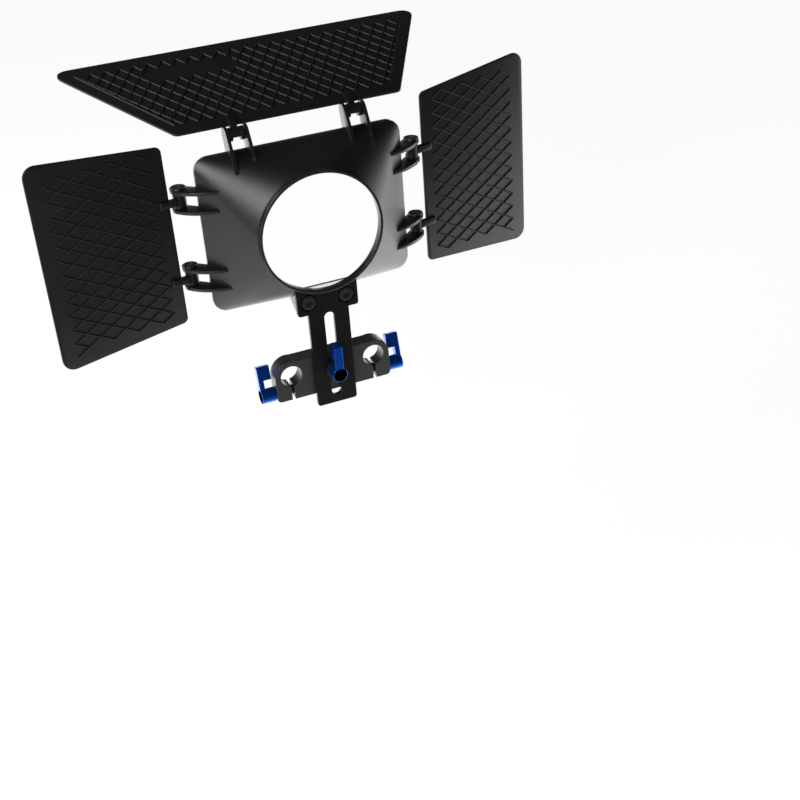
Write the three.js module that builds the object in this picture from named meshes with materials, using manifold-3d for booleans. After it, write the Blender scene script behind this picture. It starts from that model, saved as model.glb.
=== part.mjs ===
// Matte box for 15 mm rods: a square hood with a round lens ring, three hinged flags, a slotted
// bracket and a two-rod clamp. Millimetres, +Z up, +Y the way the lens looks.
// The origin is on the clamp's front face, midway between the two rod axes.
import * as THREE from 'three';
import { mergeVertices } from 'three/addons/utils/BufferGeometryUtils.js';
import Module from 'manifold-3d';

const wasm = await Module();
wasm.setup();

// Clearances and cutting allowances
const seatGap = 0.3;
const overrun = 2;
const rodClearance = 0.1;

// Rods and rod clamp
const rodSpacing = 60;
const rodDiameter = 15;
const bossWall = 4;
const clampDepth = 11.5;
const bridgeStep = 0.4;
const clampDrop = 18.2;
const clampCorner = 3;
const slitWidth = 2;
const rodScrewDrop = 12.9;

// Bracket plate with its height slot
const plateThickness = 3;
const bracketWidth = 43;
const bracketBlockBase = 44;
const bracketCorner = 2;
const legsWidth = 28.6;
const slotWidth = 7;
const slotTop = 43;
const slotBase = -21;
const legsBase = -27;
const pocketSpacing = 26.6;
const pocketHeight = 53.1;
const pocketAcrossFlats = 11.6;
const pocketDepth = 1.9;

// Hood, seen from the lens axis
const lensAxisHeight = 102;
const ringSetback = 19.2;
const ringOpening = 80.8;
const ringWall = 1.8;
const neckDepth = 4.5;
const hoodWidth = 140.4;
const hoodHeight = 108;
const hoodDepth = 35;
const hoodCorner = 10;
const hoodWall = 2.5;
const lipDepth = 3;
const lugBase = 44.5;
const lugFootDepth = 1;
const lugTopDepth = 17;
const lugTopHeight = 54;
const lugSideInset = 0.8;
const lugReach = 14;

// Hinges between hood and flags
const hingeReach = 10.2;
const hingeSetbacks = { side: -3.5, top: 0.8 };
const sideHingeSpacing = 54.2;
const topHingeSpacing = 79.2;
const earThickness = 2.1;
const earGap = 11;
const earRadius = 5.4;
const earRoots = {
  side: { depth: 13.5, sink: 1.2, bow: THREE.MathUtils.degToRad(22) },
  top: { depth: 17, sink: 4.5, bow: THREE.MathUtils.degToRad(6) },
};
const bossRadius = 5.1;
const bossHeight = 1.4;
const bossRecessRadius = 3.3;
const knuckleRadius = 4.4;
const notchWidth = 5.4;
const armThickness = 4.6;
const armTipRadius = 2;

// Flags
const flagThickness = 2;
const sideFlag = {
  depth: 87.6, innerHeight: 122, outerHeight: 140.2, innerCorner: 4, outerCorner: 8,
  edgeOffset: 7.8, planeOffset: -1.2, rise: 4, armLength: 15, armOffset: -1.7, hinges: sideHingeSpacing,
};
const topFlag = {
  depth: 107.2, innerHeight: 152.6, outerHeight: 265, innerCorner: 4, outerCorner: 8,
  edgeOffset: 7.2, planeOffset: -2.5, rise: 0, armLength: 14, armOffset: -4.6, hinges: topHingeSpacing,
};
const leftFlagTurn = THREE.MathUtils.degToRad(-8.4);
const rightFlagTurn = THREE.MathUtils.degToRad(12.6);
const topFlagTurn = THREE.MathUtils.degToRad(11.2);

// Screws and washer
const hingeScrew = { shank: 3, head: 5.6, headHeight: 1.1, socket: 2.4, socketDepth: 0.7 };
const headlessSocket = { across: 1.5, depth: 1.5 };
const bracketScrew = { shank: 5, head: 10, headHeight: 1.6, socket: 4, socketDepth: 1, length: 5 };
const heightScrew = { shank: 6, head: 8.2, headHeight: 1.6, socket: 4, socketDepth: 1.1, length: 8.5 };
const rodScrew = { shank: 6, head: 8.2, headHeight: 1.6, socket: 4, socketDepth: 1.1, length: 22 };
const washer = { diameter: 12, height: 1 };
const boreClearance = 0.3;

// Lock levers
const lever = {
  hubRadius: 5.2, width: 10, length: 21.3, armWidth: 5.8, armThickness: 3.6, padLength: 10, padInset: 0.9,
  counterbore: 2, tipCorner: 1.2,
};
const rodLeverLean = THREE.MathUtils.degToRad(15);

// Numbers of facets
const cornerSteps = 10;
const sideSteps = 2;
const wallSteps = 3;
const roundSegments = 28;
const smallSegments = 14;
const apexShare = 0.09;

// Derived sizes
const clampRear = -clampDepth;
const plateFront = clampRear - seatGap;
const plateRear = plateFront - plateThickness;
const bossOuter = rodDiameter / 2 + rodClearance + bossWall;
const bridgeTop = bossOuter - bridgeStep;
const ringRear = -ringSetback;
const hoodFront = ringRear + hoodDepth;
const neckFront = ringRear + neckDepth;
const ringInner = ringOpening / 2;
const ringOuter = ringInner + ringWall;

const finishes = {
  hood: { color: 0x101010, roughness: 0.42, metalness: 0 },
  flag: { color: 0x0c0c0c, roughness: 0.7, metalness: 0 },
  bracket: { color: 0x0e0e0e, roughness: 0.55, metalness: 0 },
  clamp: { color: 0x111114, roughness: 0.4, metalness: 0.6 },
  lever: { color: 0x00419b, roughness: 0.3, metalness: 0.8 },
  screw: { color: 0x141414, roughness: 0.35, metalness: 0.9 },
};

const object = new THREE.Group();

// A closed three.js geometry as a solid for cutting and joining
function solid(geometry, matrix) {
  const bare = geometry.index ? geometry.toNonIndexed() : geometry.clone();
  bare.deleteAttribute('normal');
  bare.deleteAttribute('uv');
  if (matrix) bare.applyMatrix4(matrix);
  const merged = mergeVertices(bare);
  return new wasm.Manifold(new wasm.Mesh({
    numProp: 3,
    vertProperties: new Float32Array(merged.attributes.position.array),
    triVerts: new Uint32Array(merged.index.array),
  }));
}

function geometryOf(manifold) {
  const mesh = manifold.getMesh();
  const geometry = new THREE.BufferGeometry();
  geometry.setAttribute('position', new THREE.BufferAttribute(new Float32Array(mesh.vertProperties), 3));
  geometry.setIndex(new THREE.BufferAttribute(new Uint32Array(mesh.triVerts), 1));
  geometry.computeVertexNormals();
  return geometry;
}

const join = (solids) => solids.reduce((sum, next) => sum.add(next));
const cut = (body, tools) => tools.reduce((rest, tool) => rest.subtract(tool), body);

function place(x, y, z, turnX = 0, turnY = 0, turnZ = 0) {
  const turn = new THREE.Quaternion().setFromEuler(new THREE.Euler(turnX, turnY, turnZ));
  return new THREE.Matrix4().compose(new THREE.Vector3(x, y, z), turn, new THREE.Vector3(1, 1, 1));
}

function addMesh(parent, name, manifold, finish) {
  const mesh = new THREE.Mesh(geometryOf(manifold), new THREE.MeshStandardMaterial(finishes[finish]));
  mesh.name = name;
  parent.add(mesh);
  return mesh;
}

// A box from its two opposite corners
function block(low, high) {
  const size = high.map((value, axis) => value - low[axis]);
  const middle = high.map((value, axis) => (value + low[axis]) / 2);
  return solid(new THREE.BoxGeometry(...size), place(...middle));
}

// A cylinder or prism along X, Y or Z, from one end to the other
const quarter = Math.PI / 2;
const axisTurns = { x: [0, 0, -quarter], y: [0, 0, 0], z: [quarter, 0, 0] };
function rod(axis, radius, from, to, centre, sides = smallSegments) {
  const along = { x: [1, 0, 0], y: [0, 1, 0], z: [0, 0, 1] }[axis];
  const spot = centre.map((value, index) => value + along[index] * (from + to) / 2);
  const cylinder = new THREE.CylinderGeometry(radius, radius, to - from, sides);
  return solid(cylinder, place(...spot, ...axisTurns[axis]));
}

const hexRadius = (acrossFlats) => acrossFlats / 2 / Math.cos(Math.PI / 6);
const polygonSides = 6;

// A flat outline pushed along Z from one height to another
function extrude(shape, from, to, matrix = new THREE.Matrix4()) {
  const geometry = new THREE.ExtrudeGeometry(shape, {
    depth: to - from, bevelEnabled: false, curveSegments: Math.round(smallSegments / 2),
  });
  return solid(geometry, matrix.clone().multiply(place(0, 0, from)));
}

// Frames that lay an outline's XY plane on the object's XZ or YZ plane
const facingFront = new THREE.Matrix4().makeBasis(
  new THREE.Vector3(1, 0, 0), new THREE.Vector3(0, 0, 1), new THREE.Vector3(0, -1, 0));
const facingSide = new THREE.Matrix4().makeBasis(
  new THREE.Vector3(0, 1, 0), new THREE.Vector3(0, 0, 1), new THREE.Vector3(1, 0, 0));

// A closed polygon with each corner rounded to its own radius
function roundedShape(corners) {
  const shape = new THREE.Shape();
  const count = corners.length;
  corners.forEach(([x, y, radius], index) => {
    const here = new THREE.Vector2(x, y);
    const before = new THREE.Vector2(...corners[(index + count - 1) % count]);
    const after = new THREE.Vector2(...corners[(index + 1) % count]);
    const back = before.sub(here).normalize();
    const ahead = after.sub(here).normalize();
    const half = Math.acos(THREE.MathUtils.clamp(back.dot(ahead), -1, 1)) / 2;
    const reach = radius / Math.tan(half);
    const start = here.clone().addScaledVector(back, reach);
    const end = here.clone().addScaledVector(ahead, reach);
    if (index === 0) shape.moveTo(start.x, start.y);
    else shape.lineTo(start.x, start.y);
    if (radius > 0) {
      const centre = here.clone().addScaledVector(back.add(ahead).normalize(), radius / Math.sin(half));
      const from = Math.atan2(start.y - centre.y, start.x - centre.x);
      const to = Math.atan2(end.y - centre.y, end.x - centre.x);
      const turn = Math.sin(to - from) < 0;
      shape.absarc(centre.x, centre.y, radius, from, to, turn);
    }
  });
  shape.closePath();
  return shape;
}

// Where the tangent from a point touches a circle, as an angle about the circle's centre
function tangentAngle(point, centre, radius, side) {
  const reach = Math.hypot(point[0] - centre[0], point[1] - centre[1]);
  const towards = Math.atan2(point[1] - centre[1], point[0] - centre[0]);
  return towards + side * Math.acos(radius / reach);
}

// A fin: its front edge runs straight to a round end, and its rear edge bows back to the root
function finShape(front, rear, centre, radius, bow) {
  const start = tangentAngle(front, centre, radius, -1);
  const end = tangentAngle(rear, centre, radius, 1) + bow;
  const touch = [centre[0] + radius * Math.cos(end), centre[1] + radius * Math.sin(end)];
  const shape = new THREE.Shape();
  shape.moveTo(...rear);
  shape.lineTo(...front);
  shape.absarc(...centre, radius, start, end, true);
  shape.quadraticCurveTo(touch[0] + (touch[1] - rear[1]) * Math.tan(end), rear[1], ...rear);
  shape.closePath();
  return shape;
}

// The outline of two circles and the straight tangents between them, the first at the origin
function taperShape(rootRadius, tip, tipRadius) {
  const length = Math.hypot(...tip);
  const heading = Math.atan2(tip[1], tip[0]);
  const spread = Math.acos((rootRadius - tipRadius) / length);
  const shape = new THREE.Shape();
  shape.absarc(0, 0, rootRadius, heading + spread, heading - spread + 2 * Math.PI, false);
  shape.absarc(...tip, tipRadius, heading - spread, heading + spread, false);
  shape.closePath();
  return shape;
}

// Points round a rounded rectangle; each side's points pair with a short arc on the ring
function rectangleLoop(width, height, corner) {
  const points = [];
  const quadrants = [[1, 1], [-1, 1], [-1, -1], [1, -1]];
  quadrants.forEach(([signX, signZ], quadrant) => {
    const centreX = signX * (width / 2 - corner);
    const centreZ = signZ * (height / 2 - corner);
    for (let step = 0; step <= cornerSteps; step += 1) {
      const angle = quarter * (quadrant + step / cornerSteps);
      points.push([centreX + corner * Math.cos(angle), centreZ + corner * Math.sin(angle)]);
    }
    const [nextX, nextZ] = quadrants[(quadrant + 1) % quadrants.length];
    const endAngle = quarter * (quadrant + 1);
    const toX = nextX * (width / 2 - corner) + corner * Math.cos(endAngle);
    const toZ = nextZ * (height / 2 - corner) + corner * Math.sin(endAngle);
    const [fromX, fromZ] = points[points.length - 1];
    for (let step = 1; step < sideSteps; step += 1) {
      const share = step / sideSteps;
      points.push([fromX + (toX - fromX) * share, fromZ + (toZ - fromZ) * share]);
    }
  });
  return points;
}

function ringLoop(radius) {
  const points = [];
  const apex = quarter * apexShare;
  for (let quadrant = 0; quadrant < 4; quadrant += 1) {
    const start = quarter * quadrant + apex / 2;
    const sweep = quarter - apex;
    for (let step = 0; step <= cornerSteps; step += 1) {
      points.push(start + sweep * step / cornerSteps);
    }
    for (let step = 1; step < sideSteps; step += 1) {
      points.push(start + sweep + apex * step / sideSteps);
    }
  }
  return points.map((angle) => [radius * Math.cos(angle), radius * Math.sin(angle)]);
}

const blendLoops = (first, second, share) => first.map(([x, z], index) => [
  x + (second[index][0] - x) * share, z + (second[index][1] - z) * share]);

// A closed solid through loops of equal count, each at its own depth along Y
function loft(stations) {
  const count = stations[0].loop.length;
  const positions = stations.flatMap(({ y, loop }) => loop.flatMap(([x, z]) => [x, y, lensAxisHeight + z]));
  const faces = [];
  for (let ring = 0; ring < stations.length - 1; ring += 1) {
    for (let index = 0; index < count; index += 1) {
      const next = (index + 1) % count;
      const near = ring * count;
      const far = near + count;
      faces.push(near + index, far + next, near + next, near + index, far + index, far + next);
    }
  }
  [0, stations.length - 1].forEach((ring) => {
    const hub = positions.length / 3;
    positions.push(0, stations[ring].y, lensAxisHeight);
    for (let index = 0; index < count; index += 1) {
      const pair = [ring * count + index, ring * count + (index + 1) % count];
      if (ring > 0) pair.reverse();
      faces.push(hub, ...pair);
    }
  });
  const geometry = new THREE.BufferGeometry();
  geometry.setAttribute('position', new THREE.Float32BufferAttribute(positions, 3));
  geometry.setIndex(faces);
  return solid(geometry);
}

// The hood's outer or inner form: round neck, square-to-round wall, straight lip
function hoodForm(radius, inset, from, to) {
  const round = ringLoop(radius);
  const square = rectangleLoop(hoodWidth - 2 * inset, hoodHeight - 2 * inset, hoodCorner - inset);
  const lipRear = hoodFront - lipDepth;
  const stations = [{ y: from, loop: round }];
  for (let step = 0; step <= wallSteps; step += 1) {
    const share = step / wallSteps;
    stations.push({ y: neckFront + (lipRear - neckFront) * share, loop: blendLoops(round, square, share) });
  }
  stations.push({ y: to, loop: square });
  return loft(stations);
}

// Hinge axes: sides run along Z, the top one along X
const sideAxisX = hoodWidth / 2 + hingeReach;
const topAxisZ = lensAxisHeight + hoodHeight / 2 + hingeReach;
const hingeYOf = (kind) => hoodFront - (kind === 'top' ? hingeSetbacks.top : hingeSetbacks.side);
const sideLevels = [1, -1].map((sign) => lensAxisHeight + sign * sideHingeSpacing / 2);
const topPlaces = [-1, 1].map((sign) => sign * topHingeSpacing / 2);
const earInner = earGap / 2;
const earOuter = earInner + earThickness;
const wallLength = hoodDepth - neckDepth - lipDepth;

const halfSizeOf = (kind) => (kind === 'top' ? hoodHeight / 2 : hoodWidth / 2);

// How far the outer wall stands from the lens axis at a depth behind the front
function wallReach(halfSize, depth) {
  const share = Math.max(depth - lipDepth, 0) / wallLength;
  return halfSize + (ringOuter - halfSize) * share;
}

function earShape(kind) {
  const half = halfSizeOf(kind);
  const { depth, sink, bow } = kind === 'top' ? earRoots.top : earRoots.side;
  const front = [half - sink, hoodFront];
  const rear = [wallReach(half, depth) - sink, hoodFront - depth];
  return finShape(front, rear, [half + hingeReach, hingeYOf(kind)], earRadius, bow);
}

// The frame of one hinge: its outline plane is (outward from the lens axis, forward)
function hingeFrame(kind, position) {
  if (kind === 'top') {
    return new THREE.Matrix4().makeBasis(
      new THREE.Vector3(0, 0, 1), new THREE.Vector3(0, 1, 0), new THREE.Vector3(-1, 0, 0),
    ).setPosition(position, 0, lensAxisHeight);
  }
  const side = kind === 'right' ? 1 : -1;
  return new THREE.Matrix4().makeBasis(
    new THREE.Vector3(side, 0, 0), new THREE.Vector3(0, 1, 0), new THREE.Vector3(0, 0, 1),
  ).setPosition(0, 0, position);
}

const hingePair = (kind, places, names) => places.map(
  (at, index) => ({ kind, at, name: `${kind}_${names[index]}` }));
const hinges = [
  ...hingePair('left', sideLevels, ['upper', 'lower']),
  ...hingePair('right', sideLevels, ['upper', 'lower']),
  ...hingePair('top', topPlaces, ['left', 'right']),
];

// Moves a solid that is modelled about a hinge into the object; the left side is a mirror image
const atHinge = ({ kind, at }, body) => body.transform(hingeFrame(kind, at).elements);

// Two ears; those at the sides have a round boss with a recess for the screw's head
function hingeEars(hinge) {
  const centre = [halfSizeOf(hinge.kind) + hingeReach, hingeYOf(hinge.kind), 0];
  const shape = earShape(hinge.kind);
  const ears = [extrude(shape, earInner, earOuter), extrude(shape, -earOuter, -earInner)];
  if (hinge.kind !== 'top') {
    const foot = earOuter - earThickness / 2;
    ears.push(rod('z', bossRadius, foot, earOuter + bossHeight, centre, roundSegments));
  }
  return atHinge(hinge, join(ears));
}

function hingeHoles(hinge) {
  const centre = [halfSizeOf(hinge.kind) + hingeReach, hingeYOf(hinge.kind), 0];
  const hole = hingeScrew.shank / 2 + boreClearance;
  const tools = [rod('z', hole, -earOuter - overrun, earOuter + overrun, centre)];
  if (hinge.kind !== 'top') {
    tools.push(rod('z', bossRecessRadius, earOuter, earOuter + bossHeight + overrun, centre, roundSegments));
  }
  return atHinge(hinge, join(tools));
}

function makeHood() {
  const lugHalf = bracketWidth / 2 - lugSideInset;
  const lugShape = new THREE.Shape();
  lugShape.moveTo(clampRear, lugBase);
  lugShape.lineTo(clampRear + lugFootDepth, lugBase);
  lugShape.lineTo(clampRear + lugTopDepth, lugTopHeight);
  lugShape.lineTo(clampRear + lugTopDepth, lugTopHeight + lugReach);
  lugShape.lineTo(clampRear, lugTopHeight + lugReach);
  lugShape.closePath();
  const outside = join([
    hoodForm(ringOuter, 0, ringRear, hoodFront),
    extrude(lugShape, -lugHalf, lugHalf, facingSide),
    ...hinges.map(hingeEars),
  ]);
  const screwHoles = [-1, 1].map((sign) => rod(
    'y', bracketScrew.shank / 2 + boreClearance, clampRear - overrun,
    plateRear + pocketDepth + bracketScrew.length + boreClearance,
    [sign * pocketSpacing / 2, 0, pocketHeight]));
  return cut(outside, [
    hoodForm(ringInner, hoodWall, ringRear - overrun, hoodFront + overrun),
    ...hinges.map(hingeHoles),
    ...screwHoles,
  ]);
}

function makeBracket() {
  const half = bracketWidth / 2;
  const leg = legsWidth / 2;
  const outline = roundedShape([
    [-leg, legsBase, bracketCorner], [leg, legsBase, bracketCorner], [leg, bracketBlockBase, 0],
    [half, bracketBlockBase, bracketCorner], [half, lensAxisHeight, 0], [-half, lensAxisHeight, 0],
    [-half, bracketBlockBase, bracketCorner], [-leg, bracketBlockBase, 0],
  ]);
  const slotHalf = slotWidth / 2;
  const tools = [
    hoodForm(ringOuter + seatGap, -seatGap, ringRear - overrun, hoodFront + overrun),
    block([-slotHalf, plateRear - overrun, slotBase + slotHalf],
      [slotHalf, plateFront + overrun, slotTop - slotHalf]),
    ...[slotTop - slotHalf, slotBase + slotHalf].map((level) => rod(
      'y', slotHalf, plateRear - overrun, plateFront + overrun, [0, 0, level], roundSegments)),
    ...[-1, 1].flatMap((sign) => {
      const spot = [sign * pocketSpacing / 2, 0, pocketHeight];
      const pocket = hexRadius(pocketAcrossFlats);
      return [
        rod('y', pocket, plateRear - overrun, plateRear + pocketDepth, spot, polygonSides),
        rod('y', bracketScrew.shank / 2 + boreClearance, plateRear, plateFront + overrun, spot),
      ];
    }),
  ];
  return cut(extrude(outline, -plateFront, -plateRear, facingFront), tools);
}

function makeClamp() {
  const reach = rodSpacing / 2;
  const full = -clampRear;
  const bodyShape = roundedShape([
    [-reach - bossOuter, 0, 0], [-reach - bossOuter, -clampDrop, clampCorner],
    [reach + bossOuter, -clampDrop, clampCorner], [reach + bossOuter, 0, 0],
  ]);
  const parts = [
    extrude(bodyShape, 0, full, facingFront),
    block([-reach, clampRear, -bossOuter / 2], [reach, 0, bridgeTop]),
    ...[-1, 1].map((sign) => rod('y', bossOuter, clampRear, 0, [sign * reach, 0, 0], roundSegments)),
  ];
  const bore = rodDiameter / 2 + rodClearance;
  const tools = [-1, 1].flatMap((sign) => [
    rod('y', bore, clampRear - overrun, overrun, [sign * reach, 0, 0], roundSegments),
    block([sign * reach - slitWidth / 2, clampRear - overrun, -clampDrop - overrun],
      [sign * reach + slitWidth / 2, overrun, 0]),
    rod('x', rodScrew.shank / 2 + boreClearance, -rodScrew.length / 2, rodScrew.length / 2,
      [sign * (reach + bossOuter - rodScrew.length / 2 + overrun), clampRear / 2, -rodScrewDrop]),
  ]);
  tools.push(rod('y', heightScrew.shank / 2 + boreClearance, clampRear - overrun,
    clampRear + heightScrew.length, [0, 0, 0]));
  return cut(join(parts), tools);
}

// A flag in its hinge's frame: X outward, Y forward, Z along the hinge axis
function makeFlag(flag) {
  const far = flag.edgeOffset + flag.depth;
  const inner = flag.innerHeight / 2;
  const outer = flag.outerHeight / 2;
  const outline = roundedShape([
    [flag.edgeOffset, flag.rise - inner, flag.innerCorner], [far, flag.rise - outer, flag.outerCorner],
    [far, flag.rise + outer, flag.outerCorner], [flag.edgeOffset, flag.rise + inner, flag.innerCorner],
  ]);
  const nearFace = flag.planeOffset - flagThickness / 2;
  const plate = extrude(outline, -nearFace - flagThickness, -nearFace, facingFront);
  const knuckles = [-1, 1].map((sign) => {
    const level = sign * flag.hinges / 2;
    const barrelHalf = earInner - seatGap;
    const arm = taperShape(knuckleRadius, [flag.armLength - armTipRadius, flag.armOffset], armTipRadius);
    return join([
      rod('z', knuckleRadius, level - barrelHalf, level + barrelHalf, [0, 0, 0], roundSegments),
      extrude(arm, level - armThickness / 2, level + armThickness / 2),
    ]);
  });
  const bores = [-1, 1].map((sign) => rod(
    'z', hingeScrew.shank / 2 + boreClearance, sign * flag.hinges / 2 - earOuter,
    sign * flag.hinges / 2 + earOuter, [0, 0, 0]));
  const notches = [-1, 1].map((sign) => {
    const level = sign * flag.hinges / 2;
    return block([-knuckleRadius - overrun, 0, level - notchWidth / 2],
      [knuckleRadius, knuckleRadius + overrun, level + notchWidth / 2]);
  });
  return cut(join([plate, ...knuckles]), [...bores, ...notches]);
}

// A cap screw along Z, head on top, the head's underside at zero
function capScrew(size, length) {
  const body = join([
    rod('z', size.head / 2, 0, size.headHeight, [0, 0, 0], roundSegments / 2),
    rod('z', size.shank / 2, -length, size.headHeight / 2, [0, 0, 0]),
  ]);
  const socket = rod('z', hexRadius(size.socket), size.headHeight - size.socketDepth,
    size.headHeight + overrun, [0, 0, 0], polygonSides);
  return body.subtract(socket);
}

// A lock lever: a hub along Z, a flat arm along Y on the outer side, and a thumb pad at the tip
function makeLever() {
  const half = lever.armWidth / 2;
  const bar = (from) => roundedShape([
    [-half, from, 0], [half, from, 0], [half, lever.length, lever.tipCorner],
    [-half, lever.length, lever.tipCorner],
  ]);
  const body = join([
    rod('z', lever.hubRadius, 0, lever.width, [0, 0, 0], roundSegments),
    extrude(bar(0), lever.width - lever.armThickness, lever.width),
    extrude(bar(lever.length - lever.padLength), lever.padInset, lever.width),
  ]);
  return cut(body, [
    rod('z', heightScrew.shank / 2 + boreClearance, -overrun, lever.width + overrun, [0, 0, 0]),
    rod('z', heightScrew.head / 2 + boreClearance, lever.width - lever.counterbore, lever.width + overrun,
      [0, 0, 0], roundSegments / 2),
  ]);
}

addMesh(object, 'hood', makeHood(), 'hood');
addMesh(object, 'bracket_plate', makeBracket(), 'bracket');
addMesh(object, 'rod_clamp', makeClamp(), 'clamp');

// Bracket screws, seated in the plate's hexagonal pockets
const towardRear = [quarter, 0, 0];
['left', 'right'].forEach((side, index) => {
  const sign = index === 0 ? -1 : 1;
  const screw = capScrew(bracketScrew, bracketScrew.length - seatGap);
  const mesh = addMesh(object, `bracket_screw_${side}`, screw, 'screw');
  mesh.position.set(sign * pocketSpacing / 2, plateRear + pocketDepth - seatGap, pocketHeight);
  mesh.rotation.set(...towardRear);
});

// Height lock: lever, washer and screw on one axis through the slot
const heightLock = new THREE.Group();
heightLock.position.set(0, plateRear, 0);
heightLock.rotation.set(...towardRear);
object.add(heightLock);
const washerSolid = rod('z', washer.diameter / 2, 0, washer.height, [0, 0, 0], roundSegments)
  .subtract(rod('z', heightScrew.shank / 2 + boreClearance, -overrun, washer.height + overrun, [0, 0, 0]));
addMesh(heightLock, 'height_lock_washer', washerSolid, 'screw').position.set(0, 0, seatGap);
const leverBase = seatGap + washer.height + seatGap;
addMesh(heightLock, 'height_lock_lever', makeLever(), 'lever').position.set(0, 0, leverBase);
const headSeat = leverBase + lever.width - lever.counterbore + seatGap;
const heightShank = headSeat + plateThickness + heightScrew.length;
const heightScrewSolid = capScrew(heightScrew, heightShank);
addMesh(heightLock, 'height_lock_screw', heightScrewSolid, 'screw').position.set(0, 0, headSeat);

// Rod locks: one lever and cross screw at each end of the clamp
['left', 'right'].forEach((side, index) => {
  const sign = index === 0 ? -1 : 1;
  const lock = new THREE.Group();
  lock.position.set(sign * (rodSpacing / 2 + bossOuter), clampRear / 2, -rodScrewDrop);
  lock.rotation.set(0, sign * quarter, 0);
  object.add(lock);
  const turned = new THREE.Group();
  turned.rotation.set(0, 0, sign * (quarter - rodLeverLean));
  lock.add(turned);
  addMesh(turned, `rod_lock_lever_${side}`, makeLever(), 'lever').position.set(0, 0, seatGap);
  const seat = seatGap + lever.width - lever.counterbore + seatGap;
  const shank = seat + rodScrew.length - overrun - seatGap;
  addMesh(lock, `rod_lock_screw_${side}`, capScrew(rodScrew, shank), 'screw').position.set(0, 0, seat);
});

// Flags, each turned about its hinge axis to the pose it is used in
[{ side: 'left', sign: -1, turn: leftFlagTurn }, { side: 'right', sign: 1, turn: rightFlagTurn }].forEach(
  ({ side, sign, turn }) => {
    const body = makeFlag(sideFlag);
    const mesh = addMesh(object, `${side}_flag`, sign < 0 ? body.mirror([1, 0, 0]) : body, 'flag');
    mesh.position.set(sign * sideAxisX, hingeYOf(side), lensAxisHeight);
    mesh.rotation.set(0, 0, sign * turn);
  });
const topHinge = new THREE.Group();
topHinge.position.set(0, hingeYOf('top'), topAxisZ);
topHinge.rotation.set(topFlagTurn, 0, 0);
object.add(topHinge);
const topBasis = new THREE.Matrix4().makeBasis(
  new THREE.Vector3(0, 1, 0), new THREE.Vector3(0, 0, -1), new THREE.Vector3(-1, 0, 0));
addMesh(topHinge, 'top_flag', makeFlag(topFlag).transform(topBasis.elements), 'flag');

// A headless hinge screw along Z, with a hexagonal socket in its upper end
function headlessScrew(reach) {
  const socket = rod('z', hexRadius(headlessSocket.across), reach - headlessSocket.depth, reach + overrun,
    [0, 0, 0], polygonSides);
  return rod('z', hingeScrew.shank / 2, -reach, reach, [0, 0, 0]).subtract(socket);
}

// Hinge screws: at the sides the head lies in the boss; at the top both ends lie in the ears
hinges.forEach((hinge) => {
  const headLevel = earOuter + seatGap;
  const screw = hinge.kind === 'top' ? headlessScrew(earOuter - seatGap)
    : capScrew(hingeScrew, headLevel + earOuter - seatGap).translate([0, 0, headLevel]);
  const centre = [halfSizeOf(hinge.kind) + hingeReach, hingeYOf(hinge.kind), 0];
  addMesh(object, `hinge_screw_${hinge.name}`, atHinge(hinge, screw.translate(centre)), 'screw');
});

export default object;
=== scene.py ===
import bpy
import bmesh
import math
from mathutils import Matrix, Vector


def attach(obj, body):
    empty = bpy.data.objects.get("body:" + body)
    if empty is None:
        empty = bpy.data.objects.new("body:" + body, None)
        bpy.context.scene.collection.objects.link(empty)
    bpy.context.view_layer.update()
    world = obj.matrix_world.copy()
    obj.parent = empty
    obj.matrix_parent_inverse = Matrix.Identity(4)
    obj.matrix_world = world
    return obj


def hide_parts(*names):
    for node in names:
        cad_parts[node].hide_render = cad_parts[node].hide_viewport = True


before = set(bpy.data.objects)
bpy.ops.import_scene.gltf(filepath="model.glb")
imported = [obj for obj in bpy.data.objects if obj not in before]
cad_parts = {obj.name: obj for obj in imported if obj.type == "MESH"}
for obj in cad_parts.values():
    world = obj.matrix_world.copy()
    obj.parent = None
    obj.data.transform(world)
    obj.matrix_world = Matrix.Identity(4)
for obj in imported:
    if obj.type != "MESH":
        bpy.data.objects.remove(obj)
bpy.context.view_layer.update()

# Shapes are made in millimetres and scaled once, when a piece is finished
MM = 0.001
FULL_TURN = 2 * math.pi
SAME_POINT = 0.001

# Camera of the photograph, in the part's frame; lens and film in millimetres, clipping in metres
CAMERA_AT = Vector((-242.83, -773.86, 455.02)) * MM
CAMERA_RIGHT = Vector((0.918256, -0.390792, -0.063878))
CAMERA_AHEAD = Vector((0.303591, 0.798346, -0.520074))
LENS = 60.345
FILM_WIDTH = 36
CLIP_START = 0.01
CLIP_END = 20

# Hood
AXIS_HEIGHT = 102
RING_REAR = -19.2
RING_INNER = 40.4
RING_OUTER = 42.2
NECK_FRONT = -14.7
LIP_REAR = 12.8
HOOD_FRONT = 15.8
HOOD_WIDTH = 140.4
HOOD_HEIGHT = 108
HOOD_CORNER = 10
HOOD_WALL = 2.5
HOOD_SKIN = 2
HOOD_BANDS = 9
CORNER_STEPS = 20
LOOP_POINTS = 4 * (CORNER_STEPS + 2)
RING_EDGE = 0.5
LIP_EDGE = 0.7
RIM_STEPS = 3
RIM_ANGLE = 1
ON_LEVEL = 0.01
WALL_HALVINGS = 30

# Block under the ring, between hood and bracket
GUSSET_HALF = 20.7
GUSSET_REAR = -11.5
GUSSET_BASE = 44.5
GUSSET_FOOT = 1
GUSSET_DEPTH = 17
GUSSET_TOP = 54
GUSSET_STEP = 0.1
GUSSET_CUTS_ACROSS = 11
GUSSET_CUTS_ALONG = 5

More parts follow.
